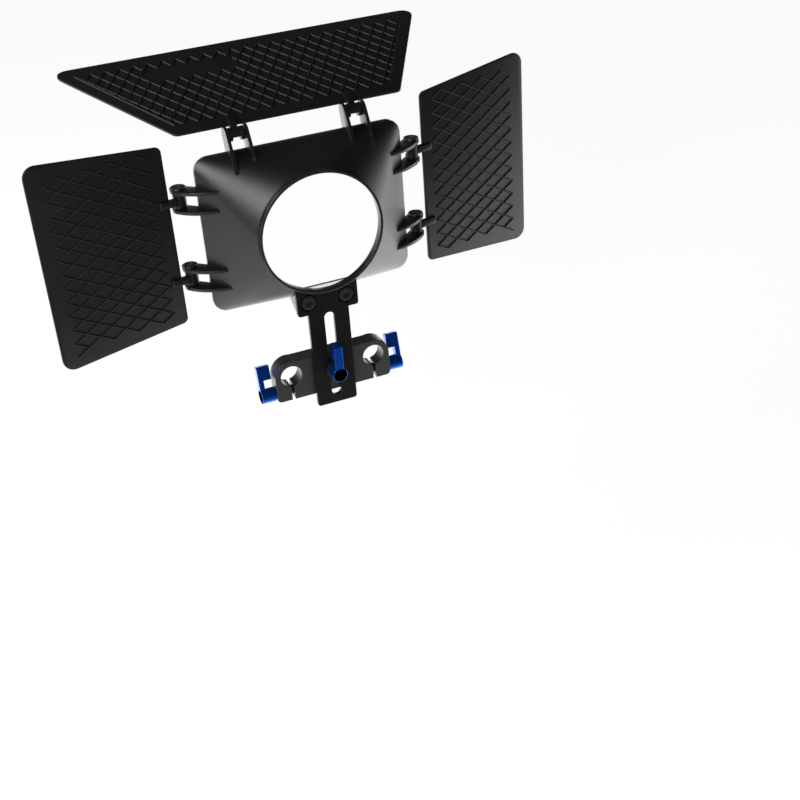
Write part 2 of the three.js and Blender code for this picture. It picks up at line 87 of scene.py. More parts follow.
# Hinges: kind, end of the hinge axis and the name that the hinge's screw has
HINGES = (("left", 1, "left_upper"), ("left", -1, "left_lower"), ("right", 1, "right_upper"),
          ("right", -1, "right_lower"), ("top", -1, "top_left"), ("top", 1, "top_right"))
HINGE_REACH = 10.2
SIDE_HINGE_Y = 19.3
TOP_HINGE_Y = 15.0
SIDE_HINGES = 54.2
TOP_HINGES = 79.2
EAR_INNER = 5.5
EAR_OUTER = 7.6
EAR_RADIUS = 5.4
EAR_EDGE = 0.55
BOSS_RADIUS = 5.1
BOSS_HEIGHT = 1.4
BOSS_SINK = 1
BOSS_EDGE = 0.4
RECESS_RADIUS = 3.3
KNUCKLE_RADIUS = 4.4
KNUCKLE_HALF = 5.2
KNUCKLE_EDGE = 0.3
NOTCH_HALF = 2.7
PIN_HOLE = 1.8

# Where an ear leaves the hood: how deep it is there and how far it sinks in, the lean of its back in
# degrees, and the radius of the bow at the back's foot
SIDE_EAR = {"depth": 13.5, "sink": 1.2, "lean": 22, "bow": 28}
TOP_EAR = {"depth": 17, "sink": 4.5, "lean": 6, "bow": 30}

# Arms between the hinge barrels and the flags' plates; the overrun and the rounding are shares of the tip
ARM_HALF = 2.3
ARM_TIP = 2
ARM_OVERRUN = 0.9
ARM_ROUNDING = 0.8
ARM_EDGE = 0.4
PIN_ROOM = 0.4

# Ribs: half their width and their height, how deep they sink in, and their flank in shares of the two
SIDE_RIB = (0.6, 0.75)
TOP_RIB = (0.95, 0.95)
PAD_RIB = (0.5, 0.5)
RIB_SINK = 0.2
RIB_FLANK = ((0.78, 0.5), (0.4, 0.9))

# Flags: sizes in the frame of their hinge, outward, forward and along the hinge axis
FLAG_HALF_THICK = 1
FLAG_EDGE = 0.6
SIDE_FLAG = {
    "near": 7.8, "far": 95.4, "inner": 61, "outer": 70.1, "rise": 4, "plane": -1.2,
    "hinges": SIDE_HINGES, "arm": (13, -1.7), "rib": SIDE_RIB,
}
TOP_FLAG = {
    "near": 7.2, "far": 114.4, "inner": 76.3, "outer": 132.5, "rise": 0, "plane": -2.5,
    "hinges": TOP_HINGES, "arm": (12, -4.6), "rib": TOP_RIB,
}
INNER_CORNER = 4
OUTER_CORNER = 8
LEFT_TURN = math.radians(8.4)
RIGHT_TURN = math.radians(12.6)
TOP_TURN = math.radians(11.2)

# Diamond lattice of thin ribs: half of a diamond's long and short diagonal, and the lattice's extent
HALF_LONG = 8.55
HALF_SHORT = 4.85
SIDE_LATTICE_FAR = 84.9
SIDE_LATTICE_TOP = 63.65
SIDE_COLUMNS = 8
SIDE_ROWS = 24
TOP_LATTICE_FAR = 103
TOP_LATTICE_NEAR = 17.4
TOP_BORDER_NEAR = 73.2
TOP_BORDER_SLOPE = 0.515
TOP_ROWS = 24
SHORTEST_RIB = 2
BARE_PATCH = ((77.2, 94.6), (12, 73))

# Edges of the bracket plate, the clamp and the levers
BRACKET_EDGE = 0.35
CLAMP_EDGE = 0.45
LEVER_EDGE = 0.4
COPY_STEPS = 3
FLAT_ANGLE = math.radians(1)
SHARP_ANGLE = math.radians(40)

# Height lock, behind the plate, and rod locks, at the clamp's ends; lifts go along the lock's axis
REAR_FACE = -14.8
HEIGHT_LEVER_LIFT = 1.6
HEIGHT_SCREW_LIFT = 9.9
ROD_LOCK = (41.6, -5.75, -12.9)
ROD_LEVER_LIFT = 0.3
ROD_LEVER_TURN = math.radians(75)
ROD_SCREW_LIFT = 8.6
WASHER_HOLE = 3.3
WASHER_RADIUS = 6
WASHER_FROM = 0.3
WASHER_TO = 1.3
WASHER_EDGE = 0.15

# Grip ribs on a lever's thumb pad
PAD_FROM = 11.3
PAD_TO = 21.3
PAD_HALF = 2.9
PAD_LOW = 0.9
PAD_HIGH = 10
PAD_MARGIN = 0.7
PAD_SINK = 0.1
PAD_RIBS = 6
PAD_FIRST = 0.4

# Screws: head, head height, shank, length under the head, socket and socket depth
HEIGHT_SCREW = (8.2, 1.6, 6, 21.4, 4, 1.1)
ROD_SCREW = (8.2, 1.6, 6, 28.3, 4, 1.1)
BRACKET_SCREW = (10, 1.6, 5, 4.7, 4, 1)
SIDE_PIN = (5.6, 1.1, 3, 15.2, 2.4, 0.7)
TOP_PIN = (3, 14.6, 3, 0, 1.5, 1.5)
SCREW_EDGE = 0.25
SCREW_POINTS = 24
BRACKET_SCREW_X = 13.3
BRACKET_SCREW_Z = 53.1
POCKET_DEPTH = 1.6
PIN_LIFT = 0.3

# Surroundings; a brightness of one is white. What gloss shows of them changes along the spans, which are
# in metres on the floor and shares of a direction in the world
FRONT_LIGHT = 2.2
LEFT_LIGHT = 1.4
RIGHT_LIGHT = 3.4
REAR_LIGHT = 0.03
SIDE_LIGHT_SHARE = 0.3
OVERHEAD_DIMMING = 0.98
FLOOR_ACROSS_SPAN = (-0.9, 0.3)
FLOOR_AHEAD_SPAN = (-0.26, 0.12)
WORLD_AHEAD_SPAN = (-0.4, 0.6)
WORLD_HEIGHT_SPAN = (-0.12, 0.24)
PLAIN_LIGHT = 0.5
RAY_KINDS = ("Is Glossy Ray", "Is Transmission Ray", "Is Camera Ray")
FLOOR_GLOW = 0.79
FLOOR_HALF = 12
FLOOR_HEIGHT = -0.16

# Lamps: place, side of the square panel and power
LAMPS = {"left_rear": ((-0.85, -0.95, 0.52), 0.5, 10), "left": ((-1.12, 0.22, 0.92), 0.75, 11)}
LAMP_AIM = Vector((0, 0, 0.1))

# Colour of the dust and rubbed specks on plastic
DUST_TONE = (0.06, 0.059, 0.057)

# Turns a shape drawn in the XY plane into one that stands in the XZ plane, drawn upward
STANDING = Matrix(((1, 0, 0, 0), (0, 0, 1, 0), (0, 1, 0, 0), (0, 0, 0, 1)))
# Turns a shape drawn in the XY plane into one in the YZ plane
SIDEWAYS = Matrix(((0, 0, 1, 0), (1, 0, 0, 0), (0, 1, 0, 0), (0, 0, 0, 1)))
# Turns ribs drawn in the XY plane so that they lie in a flag's plate and stand up to its rear side
ON_PLATE = Matrix(((1, 0, 0, 0), (0, 0, -1, 0), (0, 1, 0, 0), (0, 0, 0, 1)))
# Turns something that points along +Z so that it points to the rear
TO_REAR = Matrix.Rotation(math.radians(90), 4, "X")


def moved(x, y, z):
    return Matrix.Translation((x, y, z))


def face_outward(bm):
    bmesh.ops.recalc_face_normals(bm, faces=bm.faces)
    if bm.calc_volume(signed=True) < 0:
        bmesh.ops.reverse_faces(bm, faces=bm.faces)


def shift(bm, matrix):
    """Moves a closed mesh by a matrix and keeps its faces outward, also after a mirroring one."""
    bmesh.ops.transform(bm, verts=bm.verts, matrix=matrix)
    face_outward(bm)


def edges_between(verts):
    """The edges that have both ends among these vertices, in the same order each run."""
    chosen = set(verts)
    return list(dict.fromkeys(
        edge for vert in verts for edge in vert.link_edges if edge.other_vert(vert) in chosen))


def polygon(corners, steps=8):
    """A flat face in the XY plane; each corner is x, y and the radius it is rounded to."""
    bm = bmesh.new()
    verts = [bm.verts.new((x, y, 0)) for x, y, radius in corners]
    bm.faces.new(verts)
    spots = [Vector((x, y)) for x, y, radius in corners]
    for index, (vert, (x, y, radius)) in enumerate(zip(verts, corners)):
        if radius > 0:
            back = spots[index - 1] - spots[index]
            ahead = spots[(index + 1) % len(spots)] - spots[index]
            reach = radius / math.tan(back.angle(ahead) / 2)
            bmesh.ops.bevel(bm, geom=[vert], offset=reach, offset_type="OFFSET", segments=steps,
                            profile=0.5, affect="VERTICES", material=-1)
    return bm


def soften(bm, amount, angle=35):
    """Rounds every edge that is sharper than an angle in degrees."""
    sharp = [edge for edge in bm.edges
             if len(edge.link_faces) == 2 and edge.calc_face_angle(0) > math.radians(angle)]
    bmesh.ops.bevel(bm, geom=sharp, offset=amount, offset_type="OFFSET", segments=2, profile=0.5,
                    affect="EDGES", material=-1, clamp_overlap=True)


def plate(corners, low, high, edge):
    """A polygon pushed along Z from low to high, with rounded rims."""
    bm = polygon(corners)
    bmesh.ops.translate(bm, verts=bm.verts, vec=(0, 0, low))
    grown = bmesh.ops.extrude_face_region(bm, geom=list(bm.faces), use_keep_orig=True)["geom"]
    top = [item for item in grown if isinstance(item, bmesh.types.BMVert)]
    bmesh.ops.translate(bm, verts=top, vec=(0, 0, high - low))
    bmesh.ops.recalc_face_normals(bm, faces=bm.faces)
    if edge > 0:
        soften(bm, edge)
    return bm


def tube(inner, outer, low, high, edge=0, angle=FULL_TURN, steps=36):
    """A tube along Z, or the part of one that an angle spans."""
    bm = bmesh.new()
    outline = ((inner, low), (outer, low), (outer, high), (inner, high))
    verts = [bm.verts.new((radius, 0, height)) for radius, height in outline]
    edges = [bm.edges.new((verts[index - 1], vert)) for index, vert in enumerate(verts)]
    full = angle == FULL_TURN
    bmesh.ops.spin(bm, geom=verts + edges, cent=(0, 0, 0), axis=(0, 0, 1), angle=angle, steps=steps,
                   use_merge=full)
    bmesh.ops.remove_doubles(bm, verts=bm.verts, dist=SAME_POINT)
    if not full:
        bmesh.ops.holes_fill(bm, edges=[edge for edge in bm.edges if edge.is_boundary], sides=0)
    bmesh.ops.recalc_face_normals(bm, faces=bm.faces)
    if edge > 0:
        soften(bm, edge)
    return bm


def pushed(bm, edges, vector):
    """Extrudes a loop of edges and gives the loop at its far end."""
    grown = bmesh.ops.extrude_edge_only(bm, edges=edges)["geom"]
    verts = [item for item in grown if isinstance(item, bmesh.types.BMVert)]
    bmesh.ops.translate(bm, verts=verts, vec=vector)
    return edges_between(verts)


def circle_loop(bm, radius, height, points):
    verts = bmesh.ops.create_circle(bm, cap_ends=False, segments=points, radius=radius)["verts"]
    bmesh.ops.translate(bm, verts=verts, vec=(0, 0, height))
    return edges_between(verts)


def cap_screw(head, head_height, shank, length, socket, socket_depth):
    """A cap screw along Z with a hexagonal socket; the underside of its head is at zero."""
    bm = bmesh.new()
    corner = socket / 2 / math.cos(math.radians(30))
    hexagon = circle_loop(bm, corner, head_height, 6)
    bmesh.ops.subdivide_edges(bm, edges=hexagon, cuts=SCREW_POINTS // 6 - 1)
    mouth = list(bm.edges)
    rim = circle_loop(bm, head / 2, head_height, SCREW_POINTS)
    bmesh.ops.bridge_loops(bm, edges=rim + mouth)
    floor = pushed(bm, mouth, (0, 0, -socket_depth))
    end = pushed(bm, rim, (0, 0, -head_height))
    if shank < head:
        neck = circle_loop(bm, shank / 2, 0, SCREW_POINTS)
        bmesh.ops.bridge_loops(bm, edges=end + neck)
        end = pushed(bm, neck, (0, 0, -length))
    bmesh.ops.holes_fill(bm, edges=floor + end, sides=0)
    bmesh.ops.recalc_face_normals(bm, faces=bm.faces)
    soften(bm, SCREW_EDGE, angle=50)
    return bm


def rib(start, end, half, height):
    """A low rounded bar in the XY plane from one point to another, standing up along Z."""
    start, end = Vector((*start, 0)), Vector((*end, 0))
    flank = [(half, -RIB_SINK)] + [(half * out, height * up) for out, up in RIB_FLANK]
    outline = flank + [(0, height)] + [(-x, y) for x, y in reversed(flank)]
    bm = plate([(x, y, 0) for x, y in outline], 0, (end - start).length, 0)
    ahead = (end - start).normalized()
    side = ahead.cross(Vector((0, 0, 1)))
    turn = Matrix((side, (0, 0, 1), ahead)).transposed().to_4x4()
    shift(bm, moved(*start) @ turn)
    return bm


def add(whole, part, matrix=Matrix()):
    """Puts a part into a piece's mesh and frees it."""
    shift(part, matrix)
    mesh = bpy.data.meshes.new("part")
    part.to_mesh(mesh)
    whole.from_mesh(mesh)
    bpy.data.meshes.remove(mesh)
    part.free()


def finish_piece(bm, name, body, slot, nodes, smooth=40):
    """Turns a mesh in metres into a piece that rides on a body and stands for its CAD nodes."""
    mesh = bpy.data.meshes.new(name)
    bm.to_mesh(mesh)
    bm.free()
    mesh.shade_smooth()
    mesh.set_sharp_from_angle(angle=math.radians(smooth))
    mesh.materials.append(MATERIALS[slot])
    thing = bpy.data.objects.new(name, mesh)
    bpy.context.scene.collection.objects.link(thing)
    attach(thing, body)
    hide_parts(*nodes)
    return thing


def in_metres(bm):
    bmesh.ops.scale(bm, vec=(MM, MM, MM), verts=bm.verts)
    return bm


def finished_copy(node, body, slot, edge, extras=()):
    """A CAD node's own shape with rounded edges, and any added parts, as a piece."""
    bm = bmesh.new()
    bm.from_mesh(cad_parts[node].data)
    bmesh.ops.remove_doubles(bm, verts=bm.verts, dist=SAME_POINT * MM)
    bmesh.ops.dissolve_limit(bm, angle_limit=FLAT_ANGLE, verts=bm.verts, edges=bm.edges)
    bmesh.ops.recalc_face_normals(bm, faces=bm.faces)
    for extra in extras:
        add(bm, in_metres(extra))
    thing = finish_piece(bm, node + "_piece", body, slot, [node], smooth=30)
    bevel = thing.modifiers.new("rounded edges", "BEVEL")
    bevel.width = edge * MM
    bevel.segments = COPY_STEPS
    bevel.limit_method = "ANGLE"
    bevel.angle_limit = SHARP_ANGLE
    bevel.use_clamp_overlap = False
    bevel.harden_normals = True


class Signal:
    """One output of a node; sums, differences and products of it add Math nodes."""

    def __init__(self, recipe, output):
        self.recipe = recipe
        self.output = output

    def __add__(self, other):
        return self.recipe.math("ADD", self, other)

    def __radd__(self, other):
        return self.recipe.math("ADD", other, self)

    def __rsub__(self, other):
        return self.recipe.math("SUBTRACT", other, self)

    def __mul__(self, other):
        return self.recipe.math("MULTIPLY", self, other)

    def __rmul__(self, other):
        return self.recipe.math("MULTIPLY", other, self)


class Recipe:
    """The node tree of one material, or of the world."""

    SOCKETS = {"base": "Base Color", "roughness": "Roughness", "metallic": "Metallic", "normal": "Normal",
               "level": "Specular IOR Level", "emission": "Emission Color", "glow": "Emission Strength"}

    def __init__(self, owner, shader="Principled BSDF", place="Object"):
        self.owner = owner
        owner.use_nodes = True
        self.tree = owner.node_tree
        self.shader = self.tree.nodes[shader]
        self.place = self.node("ShaderNodeTexCoord", {}, {}, place)

    def node(self, kind, settings, sockets, output=0):
        added = self.tree.nodes.new(kind)
        for key, value in settings.items():
            setattr(added, key, value)
        for key, value in sockets.items():
            self.put(added.inputs[key], value)
        return Signal(self, added.outputs[output])

    def put(self, socket, value):
        if isinstance(value, Signal):
            self.tree.links.new(value.output, socket)
        else:
            socket.default_value = value

    def math(self, operation, first, second):
        return self.node("ShaderNodeMath", {"operation": operation}, {0: first, 1: second})

    def noise(self, size, detail=3, roughness=0.5, place=None):
        """Noise whose features are about a size in millimetres."""
        sockets = {"Vector": place or self.place, "Scale": 1 / (size * MM), "Detail": detail,
                   "Roughness": roughness}
        return self.node("ShaderNodeTexNoise", {}, sockets)

    def ramp(self, signal, low, high):
        """Nought below low, one above high, and a smooth step between."""
        settings = {"interpolation_type": "SMOOTHSTEP"}
        return self.node("ShaderNodeMapRange", settings, {"Value": signal, "From Min": low, "From Max": high})

    def mix(self, share, *colours):
        """Two colours mixed; each is a signal or three numbers."""
        sockets = {0: share}
        for index, colour in enumerate(colours):
            sockets[6 + index] = (*colour, 1) if isinstance(colour, tuple) else colour
        return self.node("ShaderNodeMix", {"data_type": "RGBA"}, sockets, 2)

    def axis(self, index):
        """One coordinate of the place."""
        return self.node("ShaderNodeSeparateXYZ", {}, {0: self.place}, index)

    def stretched(self, x, y, z):
        """The place, stretched along each axis."""
        sockets = {0: self.place, 1: (x, y, z)}
        return self.node("ShaderNodeVectorMath", {"operation": "MULTIPLY"}, sockets)

    def bump(self, height, strength, depth):
        sockets = {"Height": height, "Strength": strength, "Distance": depth * MM}
        return self.node("ShaderNodeBump", {}, sockets)

    def light(self, mirrored, to_camera):
        """A brightness by kind of ray: what gloss mirrors, what the camera sees, and plain light."""
        glossy, through, camera = (self.node("ShaderNodeLightPath", {}, {}, kind) for kind in RAY_KINDS)
        reflected = self.math("MAXIMUM", glossy, through)
        light = mirrored * reflected + PLAIN_LIGHT * (1 - reflected)
        return light * (1 - camera) + to_camera * camera

    def finish(self, **sockets):
        for key, value in sockets.items():
            self.put(self.shader.inputs[self.SOCKETS[key]], value)
        return self.owner


def hood_plastic():
    """Satin moulded black, with a fine grain, faint flow marks and a little dust."""
    recipe = Recipe(bpy.data.materials.new("hood_plastic"))
    flow = recipe.noise(34, 3)
    grain = recipe.noise(0.5, 2)
    dust = recipe.ramp(recipe.noise(2.2, 6, 0.7), 0.62, 0.8)
    tone = recipe.mix(flow, (0.0045, 0.0045, 0.005), (0.0075, 0.0075, 0.0085))
    base = recipe.mix(dust * 0.12, tone, DUST_TONE)
    roughness = 0.3 + flow * 0.1 + grain * 0.05 + dust * 0.1
    return recipe.finish(base=base, roughness=roughness, normal=recipe.bump(grain, 0.12, 0.1))


def flag_plastic():
    """Matt moulded black with an even grain and rubbed patches."""
    recipe = Recipe(bpy.data.materials.new("flag_plastic"))
    patches = recipe.noise(46, 4, 0.55)
    grain = recipe.noise(0.55, 3, 0.6)
    specks = recipe.ramp(recipe.noise(1.4, 5, 0.7), 0.64, 0.8)
    tone = recipe.mix(patches, (0.0035, 0.0035, 0.0038), (0.0075, 0.0075, 0.008))
    base = recipe.mix(specks * 0.1, tone, DUST_TONE)
    roughness = 0.33 + patches * 0.14 + grain * 0.06
    return recipe.finish(base=base, roughness=roughness, level=0.27, normal=recipe.bump(grain, 0.2, 0.12))


def bracket_metal():
    """Matt black anodised aluminium, blasted, slightly brown."""
    recipe = Recipe(bpy.data.materials.new("bracket_metal"))
    cloud = recipe.noise(15, 4)
    blast = recipe.noise(0.3, 2)
    rubbed = recipe.ramp(recipe.noise(6, 6, 0.72), 0.6, 0.78)
    tone = recipe.mix(cloud, (0.0025, 0.0022, 0.002), (0.005, 0.0045, 0.0042))
    base = recipe.mix(rubbed * 0.2, tone, (0.02, 0.018, 0.017))
    roughness = 0.36 + cloud * 0.1 + blast * 0.06
    return recipe.finish(base=base, roughness=roughness, level=0.15, normal=recipe.bump(blast, 0.15, 0.06))


def clamp_metal():
    """Satin black anodised aluminium with faint milling marks along its length."""
    recipe = Recipe(bpy.data.materials.new("clamp_metal"))
    cloud = recipe.noise(12, 3)
    milling = recipe.noise(0.6, 2, 0.5, recipe.stretched(0.05, 1, 1))
    rubbed = recipe.ramp(recipe.noise(5, 6, 0.72), 0.6, 0.8)
    tone = recipe.mix(cloud, (0.012, 0.012, 0.013), (0.02, 0.02, 0.022))
    base = recipe.mix(rubbed * 0.15, tone, (0.07, 0.07, 0.075))
    roughness = 0.33 + milling * 0.12 + cloud * 0.06
    return recipe.finish(base=base, roughness=roughness, normal=recipe.bump(milling, 0.1, 0.05))


def lever_metal():
    """Deep blue anodised aluminium with a turned sheen and light rubbing."""
    recipe = Recipe(bpy.data.materials.new("lever_metal"))
    cloud = recipe.noise(7, 3)
    lines = recipe.noise(0.25, 2, 0.5, recipe.stretched(1, 0.08, 1))
    rubbed = recipe.ramp(recipe.noise(2.6, 6, 0.72), 0.62, 0.8)
    tone = recipe.mix(cloud, (0.0, 0.05, 0.34), (0.004, 0.085, 0.46))
    base = recipe.mix(rubbed * 0.3, tone, (0.08, 0.22, 0.6))
    roughness = 0.22 + lines * 0.14 + cloud * 0.05
    return recipe.finish(base=base, roughness=roughness, metallic=0.85,
                         normal=recipe.bump(lines, 0.08, 0.04))


def screw_steel():
    """Black oxide steel, worn a little brighter in patches."""
    recipe = Recipe(bpy.data.materials.new("screw_steel"))
    cloud = recipe.noise(3, 4)
    grain = recipe.noise(0.2, 2)
    worn = recipe.ramp(recipe.noise(1.6, 6, 0.72), 0.58, 0.76)
    tone = recipe.mix(cloud, (0.018, 0.018, 0.019), (0.032, 0.032, 0.034))
    base = recipe.mix(worn * 0.35, tone, (0.14, 0.14, 0.145))
    roughness = 0.3 + grain * 0.1 + cloud * 0.1
    return recipe.finish(base=base, roughness=roughness, metallic=0.7 + worn * 0.2,
                         normal=recipe.bump(grain, 0.12, 0.04))


MATERIALS = {make.__name__: make() for make in (
    hood_plastic, flag_plastic, bracket_metal, clamp_metal, lever_metal, screw_steel)}


def hood_skin():
    """The outside of the hood: round neck, square-to-round body and straight lip."""
    upright = moved(0, 0, AXIS_HEIGHT) @ STANDING
    bm = polygon([(sign_x * HOOD_WIDTH / 2, sign_z * HOOD_HEIGHT / 2, HOOD_CORNER)
                  for sign_x, sign_z in ((1, 1), (-1, 1), (-1, -1), (1, -1))], CORNER_STEPS)
    long_edges = [edge for edge in bm.edges if edge.calc_length() > HOOD_WIDTH / 4]
    bmesh.ops.subdivide_edges(bm, edges=long_edges, cuts=1)
    bmesh.ops.delete(bm, geom=list(bm.faces), context="FACES_ONLY")
    bmesh.ops.transform(bm, verts=bm.verts, matrix=moved(0, LIP_REAR, 0) @ upright)
    rim = list(bm.edges)
    ring = circle_loop(bm, RING_OUTER, 0, LOOP_POINTS)
    verts = list(dict.fromkeys(vert for edge in ring for vert in edge.verts))
    bmesh.ops.transform(bm, verts=verts, matrix=moved(0, NECK_FRONT, 0) @ upright)
    spans = bmesh.ops.bridge_loops(bm, edges=ring + rim)["edges"]
    bmesh.ops.subdivide_edges(bm, edges=spans, cuts=HOOD_BANDS, use_grid_fill=True)
    pushed(bm, ring, (0, RING_REAR - NECK_FRONT, 0))
    pushed(bm, rim, (0, HOOD_FRONT - LIP_REAR, 0))
    bmesh.ops.recalc_face_normals(bm, faces=bm.faces)
    return bm


def hood_wall():
    """The hood's wall, with both of its rims rounded."""
    bm = hood_skin()
    bmesh.ops.solidify(bm, geom=list(bm.faces), thickness=HOOD_SKIN)
    bmesh.ops.recalc_face_normals(bm, faces=bm.faces)
    for level, amount in ((RING_REAR, RING_EDGE), (HOOD_FRONT, LIP_EDGE)):
        rims = [edge for edge in bm.edges if all(abs(vert.co.y - level) < ON_LEVEL for vert in edge.verts)
                and edge.calc_face_angle(0) > RIM_ANGLE]
        bmesh.ops.bevel(bm, geom=rims, offset=amount, offset_type="OFFSET", segments=RIM_STEPS, profile=0.5,
                        affect="EDGES", material=-1)
    return bm


def wall_middle(x, y):
    """How far below the lens axis the middle of the hood's bottom wall lies."""
    share = min(max((y - NECK_FRONT) / (LIP_REAR - NECK_FRONT), 0), 1)
    radius = (RING_INNER + RING_OUTER) / 2
    corner = HOOD_CORNER - HOOD_WALL / 2
    side, drop = HOOD_WIDTH / 2 - HOOD_CORNER, HOOD_HEIGHT / 2 - HOOD_CORNER
    apex = FULL_TURN / LOOP_POINTS
    low, high = 0, 1
    for _ in range(WALL_HALVINGS):
        step = (low + high) / 2
        angle = apex + (math.pi / 2 - 2 * apex) * step
        square = side + corner * math.sin(math.pi / 2 * step)
        reach = (1 - share) * radius * math.sin(angle) + share * square
        low, high = (step, high) if reach < abs(x) else (low, step)
    angle = apex + (math.pi / 2 - 2 * apex) * low
    return (1 - share) * radius * math.cos(angle) + share * (drop + corner * math.cos(math.pi / 2 * low))


def gusset():
    """The block under the ring: it fills the space up to the hood's wall."""
    slope = (GUSSET_TOP - GUSSET_BASE) / (GUSSET_DEPTH - GUSSET_FOOT)
    foot = GUSSET_REAR + GUSSET_FOOT
    front = foot
    while GUSSET_BASE + (front - foot) * slope < AXIS_HEIGHT - wall_middle(0, front):
        front += GUSSET_STEP
    meets = GUSSET_BASE + (front - foot) * slope
    bm = plate([(GUSSET_REAR, GUSSET_BASE, 0), (foot, GUSSET_BASE, 0), (front, meets, 0),
                (front, AXIS_HEIGHT, 0), (GUSSET_REAR, AXIS_HEIGHT, 0)], -GUSSET_HALF, GUSSET_HALF, 0)
    shift(bm, SIDEWAYS)
    across = [edge for edge in bm.edges if abs(edge.verts[0].co.x - edge.verts[1].co.x) > GUSSET_HALF]
    bmesh.ops.subdivide_edges(bm, edges=across, cuts=GUSSET_CUTS_ACROSS, use_grid_fill=True)
    top = {vert for vert in bm.verts if vert.co.z > AXIS_HEIGHT - ON_LEVEL}
    along = [edge for edge in bm.edges if top.issuperset(edge.verts)
             and abs(edge.verts[0].co.y - edge.verts[1].co.y) > (front - GUSSET_REAR) / 2]
    bmesh.ops.subdivide_edges(bm, edges=along, cuts=GUSSET_CUTS_ALONG, use_grid_fill=True)
    for vert in bm.verts:
        if vert.co.z > AXIS_HEIGHT - ON_LEVEL:
            vert.co.z = AXIS_HEIGHT - wall_middle(vert.co.x, vert.co.y)
    return bm


def hinge_centre(kind):
    """A hinge's axis, outward from the lens axis and forward."""
    if kind == "top":
        return HOOD_HEIGHT / 2 + HINGE_REACH, TOP_HINGE_Y
    return HOOD_WIDTH / 2 + HINGE_REACH, SIDE_HINGE_Y


def ear_corners(kind):
    """An ear's outline, outward from the lens axis and forward, leaning to a round end."""
    half, root = (HOOD_HEIGHT / 2, TOP_EAR) if kind == "top" else (HOOD_WIDTH / 2, SIDE_EAR)
    share = (root["depth"] - HOOD_FRONT + LIP_REAR) / (LIP_REAR - NECK_FRONT)
    wall = half + (RING_OUTER - half) * share
    centre = Vector(hinge_centre(kind))
    front = Vector((half - root["sink"], HOOD_FRONT))
    rear = Vector((wall - root["sink"], HOOD_FRONT - root["depth"]))
    lean = math.asin(EAR_RADIUS / (centre - front).length) + math.atan2(*(centre - front).yx)
    tip = centre.x + EAR_RADIUS
    front_tip = (tip, front.y + (tip - front.x) * math.tan(lean), EAR_RADIUS)
    back = centre - rear
    touch = math.atan2(back.y, back.x) - math.asin(EAR_RADIUS / back.length) + math.radians(root["lean"])
    point = centre + EAR_RADIUS * Vector((math.sin(touch), -math.cos(touch)))
    control = point.x - (point.y - rear.y) / math.tan(touch)
    rear_tip = (tip, point.y + (tip - point.x) * math.tan(touch), EAR_RADIUS)
    return [(*rear, 0), (control, rear.y, root["bow"]), rear_tip, front_tip, (*front, 0)]


def hinge_frame(kind, end):
    """Turns outward, forward, along the hinge axis into the object's axes, at one of two hinges."""
    if kind == "top":
        turn = Matrix(((0, 0, -1, 0), (0, 1, 0, 0), (1, 0, 0, 0), (0, 0, 0, 1)))
        return moved(end * TOP_HINGES / 2, 0, AXIS_HEIGHT) @ turn
    side = -1 if kind == "left" else 1
    return moved(0, 0, AXIS_HEIGHT + end * SIDE_HINGES / 2) @ Matrix.Diagonal((side, 1, 1, 1))


def make_hood():
    bm = hood_wall()
    add(bm, gusset())
    for kind, end, _ in HINGES:
        place = hinge_frame(kind, end)
        for low, high in ((EAR_INNER, EAR_OUTER), (-EAR_OUTER, -EAR_INNER)):
            add(bm, plate(ear_corners(kind), low, high, EAR_EDGE), place)
        if kind != "top":
            boss = tube(RECESS_RADIUS, BOSS_RADIUS, EAR_OUTER - BOSS_SINK, EAR_OUTER + BOSS_HEIGHT, BOSS_EDGE)
            add(bm, boss, place @ moved(*hinge_centre(kind), 0))
    finish_piece(in_metres(bm), "hood_shell", "carriage", "hood_plastic", ["hood"])


def flag_plate(flag):
    corners = [(flag["near"], flag["rise"] - flag["inner"], INNER_CORNER),
               (flag["far"], flag["rise"] - flag["outer"], OUTER_CORNER),
               (flag["far"], flag["rise"] + flag["outer"], OUTER_CORNER),
               (flag["near"], flag["rise"] + flag["inner"], INNER_CORNER)]
    bm = plate(corners, flag["plane"] - FLAG_HALF_THICK, flag["plane"] + FLAG_HALF_THICK, FLAG_EDGE)
    shift(bm, STANDING)
    return bm


def arm_corners(tip):
    """An arm's outline: it narrows from the barrel to a round tip on the plate, clear of the pin."""
    centre = Vector(tip)
    heading = math.atan2(centre.y, centre.x)
    spread = math.acos((KNUCKLE_RADIUS - ARM_TIP) / centre.length)
    ahead = centre.normalized() * ARM_TIP * ARM_OVERRUN
    corners = []
    for side in (-1, 1):
        angle = heading + side * spread
        normal = Vector((math.cos(angle), math.sin(angle)))
        root, end = normal * KNUCKLE_RADIUS, centre + normal * ARM_TIP
        share = (PIN_HOLE + PIN_ROOM - root.x) / (end.x - root.x)
        start = root.lerp(end, max(share, 0))
        start.y = min(start.y, 0)
        pair = [(*start, 0), (*(end + ahead), ARM_TIP * ARM_ROUNDING)]
        corners += pair if side < 0 else pair[::-1]
    return corners


def knuckle(flag):
    """A hinge barrel with a notch on its forward half, and the arm that carries the plate."""
    bm = bmesh.new()
    for low, high in ((-KNUCKLE_HALF, -NOTCH_HALF), (NOTCH_HALF, KNUCKLE_HALF)):
        add(bm, tube(PIN_HOLE, KNUCKLE_RADIUS, low, high, KNUCKLE_EDGE))
    middle = tube(PIN_HOLE, KNUCKLE_RADIUS, -NOTCH_HALF, NOTCH_HALF, angle=math.pi, steps=18)
    add(bm, middle, Matrix.Rotation(math.pi, 4, "Z"))
    add(bm, plate(arm_corners(flag["arm"]), -ARM_HALF, ARM_HALF, ARM_EDGE))
    return bm


